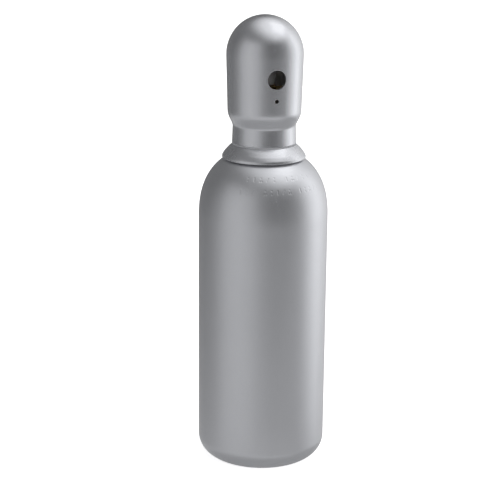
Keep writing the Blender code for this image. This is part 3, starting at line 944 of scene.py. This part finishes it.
make_shell()
make_neck_ring()
make_seal()
make_cap()
make_valve_body()
make_valve_threads()
make_packing_nut()
make_spindle()
make_handwheel()
make_spring()
make_washer("wheel_washer", "spring_seat")
make_washer("spring_top_washer", "spring_retainer")
make_wheel_nut()
make_outlet_plug()
make_safety_plug()
for node, material in (
    ("seat_disc", NYLON),
    ("spindle_washer", NYLON),
    ("seat_holder", TURNED_BRASS),
    ("lower_plug", TURNED_BRASS),
    ("packing_gland", TURNED_BRASS),
    ("packing_ring_lower", FIBRE),
    ("packing_ring_upper", FIBRE),
    ("safety_gasket", FIBRE),
    ("rupture_disc", TURNED_STEEL),
):
    repaint(node, material)


# ---------------------------------------------------------------- floor, light, camera

# How far round the axis the camera stands from the front (-Y) of the cylinder.
CAMERA_TURN = math.radians(-19.0)


def make_floor():
    """A wide pale floor that glows a little, so that it meets the white background without an edge."""
    mesh = bpy.data.meshes.new("floor")
    side = 40.0
    corners = [(-side, -side, 0), (side, -side, 0), (side, side, 0), (-side, side, 0)]
    mesh.from_pydata(corners, [], [(0, 1, 2, 3)])
    floor = bpy.data.objects.new("floor", mesh)
    bpy.context.scene.collection.objects.link(floor)
    material = bpy.data.materials.new("pale_floor")
    material.use_nodes = True
    shader = material.node_tree.nodes["Principled BSDF"]
    shader.inputs["Base Color"].default_value = (0.9, 0.9, 0.9, 1.0)
    shader.inputs["Roughness"].default_value = 1.0
    shader.inputs["Specular IOR Level"].default_value = 0.0
    shader.inputs["Emission Color"].default_value = (1.0, 1.0, 1.0, 1.0)
    shader.inputs["Emission Strength"].default_value = 0.75
    mesh.materials.append(material)
    floor.visible_glossy = False


# The studio's brightness round the object, a little below the horizon and at it, as (degrees, level)
# with degrees counted from the camera and positive to its right. Straight down it is UNDERFOOT. Above,
# it is dim with one wide bright patch. The change from each to the next is spread over the range of
# heights (degrees) that stands beside it.
PANELS_BELOW = (
    (-180, 0.65), (-135, 0.5), (-90, 0.55), (-45, 0.62), (0, 0.70),
    (45, 0.70), (90, 0.3), (135, 0.45), (180, 0.65),
)
PANELS_LEVEL = (
    (-180, 0.15), (-158, 0.18), (-135, 0.17), (-112, 0.12), (-90, 0.24), (-68, 0.6),
    (-45, 0.7), (-22, 0.53), (0, 0.15), (22, 0.0), (45, 0.05), (68, 0.28),
    (90, 1.1), (112, 1.75), (135, 1.1), (158, 0.75), (180, 0.15),
)
UNDERFOOT = 0.32
UNDERFOOT_TO_BELOW = (-50.0, -26.0)
BELOW_TO_LEVEL = (-29.0, -12.0)
LEVEL_TO_ABOVE = (25.0, 50.0)
OVERHEAD_TURN, OVERHEAD_LIFT = 108.0, 65.0
OVERHEAD_EDGE = (63.0, 20.0)
OVERHEAD_DIM, OVERHEAD_BRIGHT = 0.2, 1.45


def direction(turn, lift):
    """A unit vector at an angle from the camera, positive to its right, and a height (degrees)."""
    a = CAMERA_TURN + math.radians(turn)
    e = math.radians(lift)
    return Vector((math.sin(a) * math.cos(e), -math.cos(a) * math.cos(e), math.sin(e)))


def sky():
    """White to the camera, and a soft studio of light and dark panels to everything else."""
    world = bpy.data.worlds.new("studio")
    world.use_nodes = True
    tree = world.node_tree
    tree.nodes.clear()

    def add(kind, inputs, **settings):
        node = tree.nodes.new(kind)
        for key, value in settings.items():
            setattr(node, key, value)
        for key, value in inputs.items():
            if isinstance(value, bpy.types.NodeSocket):
                tree.links.new(value, node.inputs[key])
            else:
                node.inputs[key].default_value = value
        return node

    def share(value, low, high):
        given = {"Value": value, "From Min": math.radians(low), "From Max": math.radians(high)}
        return add("ShaderNodeMapRange", given, interpolation_type="SMOOTHSTEP").outputs["Result"]

    def ring(name, turn, panels):
        node = add("ShaderNodeValToRGB", {"Fac": turn}, name=name)
        stops = node.color_ramp.elements
        while len(stops) < len(panels):
            stops.new(1.0)
        for stop, (degrees, level) in zip(stops, panels):
            stop.position = (degrees + 180.0) / 360.0
            stop.color = (level, level, level, 1.0)
        return node.outputs["Color"]

    def blend(part, one, two):
        node = add("ShaderNodeMix", {0: part, 6: one, 7: two}, data_type="RGBA")
        return node.outputs[2]

    place = add("ShaderNodeTexCoord", {}).outputs["Generated"]
    spun = {"Vector": place, "Angle": -CAMERA_TURN}
    faced = add("ShaderNodeVectorRotate", spun, rotation_type="Z_AXIS")
    axes = add("ShaderNodeSeparateXYZ", {"Vector": faced.outputs["Vector"]}).outputs
    ahead = add("ShaderNodeMath", {0: axes["Y"], 1: -1.0}, operation="MULTIPLY").outputs[0]
    around = add("ShaderNodeMath", {0: axes["X"], 1: ahead}, operation="ARCTAN2").outputs[0]
    once = {0: around, 1: 1.0 / TAU, 2: 0.5}
    turn = add("ShaderNodeMath", once, operation="MULTIPLY_ADD").outputs[0]
    lift = add("ShaderNodeMath", {0: axes["Z"]}, operation="ARCSINE").outputs[0]
    overhead = direction(OVERHEAD_TURN, OVERHEAD_LIFT)
    near = add("ShaderNodeVectorMath", {0: place, 1: overhead}, operation="DOT_PRODUCT")
    apart = add("ShaderNodeMath", {0: near.outputs["Value"]}, operation="ARCCOSINE").outputs[0]
    above = blend(share(apart, *OVERHEAD_EDGE), grey(OVERHEAD_DIM), grey(OVERHEAD_BRIGHT))
    below = ring("below", turn, PANELS_BELOW)
    light = blend(share(lift, *UNDERFOOT_TO_BELOW), grey(UNDERFOOT), below)
    light = blend(share(lift, *BELOW_TO_LEVEL), light, ring("level", turn, PANELS_LEVEL))
    light = blend(share(lift, *LEVEL_TO_ABOVE), light, above)
    seen = add("ShaderNodeBackground", {"Color": (1.0, 1.0, 1.0, 1.0)})
    lit = add("ShaderNodeBackground", {"Color": light})
    camera_ray = add("ShaderNodeLightPath", {}).outputs["Is Camera Ray"]
    both = add("ShaderNodeMixShader", {0: camera_ray, 1: lit.outputs[0], 2: seen.outputs[0]})
    add("ShaderNodeOutputWorld", {"Surface": both.outputs[0]})
    bpy.context.scene.world = world


def softbox(name, turn, lift, distance, width, height, power, aim=(0.0, 0.0, 0.35)):
    """An area light at an angle from the camera (positive to its right), facing the object."""
    light = bpy.data.lights.new(name, "AREA")
    light.shape = "RECTANGLE"
    light.size = width
    light.size_y = height
    light.energy = power
    obj = bpy.data.objects.new(name, light)
    way = direction(turn, lift)
    obj.location = Vector(aim) + way * distance
    obj.rotation_euler = way.to_track_quat("Z", "Y").to_euler()
    bpy.context.scene.collection.objects.link(obj)
    return obj


# The camera stands at an angle and a distance (metres) from a point on the axis, and is then turned by
# small angles (degrees) off that point.
CAMERA_LIFT = 15.556
CAMERA_DISTANCE = 2.0997
CAMERA_AIM_Z = 0.3
CAMERA_LENS, CAMERA_SENSOR = 108.87, 36.0
CAMERA_YAW, CAMERA_PITCH, CAMERA_ROLL = 0.4842, -0.0504, -0.666


def make_camera():
    data = bpy.data.cameras.new("camera")
    data.sensor_width = CAMERA_SENSOR
    data.lens = CAMERA_LENS
    data.clip_end = 200.0
    obj = bpy.data.objects.new("camera", data)
    bpy.context.scene.collection.objects.link(obj)
    back = direction(0.0, CAMERA_LIFT)
    ahead = -back
    right = Vector((math.cos(CAMERA_TURN), math.sin(CAMERA_TURN), 0.0))
    up = right.cross(ahead)
    yaw = Matrix.Rotation(math.radians(CAMERA_YAW), 3, up)
    right, ahead = yaw @ right, yaw @ ahead
    pitch = Matrix.Rotation(math.radians(CAMERA_PITCH), 3, right)
    ahead, up = pitch @ ahead, pitch @ up
    roll = Matrix.Rotation(math.radians(CAMERA_ROLL), 3, ahead)
    right, up = roll @ right, roll @ up
    place = Vector((0.0, 0.0, CAMERA_AIM_Z)) + back * CAMERA_DISTANCE
    axes = Matrix((right, up, -ahead)).transposed().to_4x4()
    obj.matrix_world = Matrix.Translation(place) @ axes
    bpy.context.scene.camera = obj


make_floor()
sky()
softbox("top_light", OVERHEAD_TURN, OVERHEAD_LIFT, distance=1.7, width=1.0, height=0.8, power=1.2)
# A little light through the vent hole, which leaves no highlight on the paint.
vent_middle = (0.0, 0.0, 0.54)
fill = softbox("vent_fill", 24.0, 10.0, distance=1.2, width=0.2, height=0.2, power=4.5, aim=vent_middle)
fill.visible_glossy = False
make_camera()
bpy.context.scene.view_settings.view_transform = "Standard"
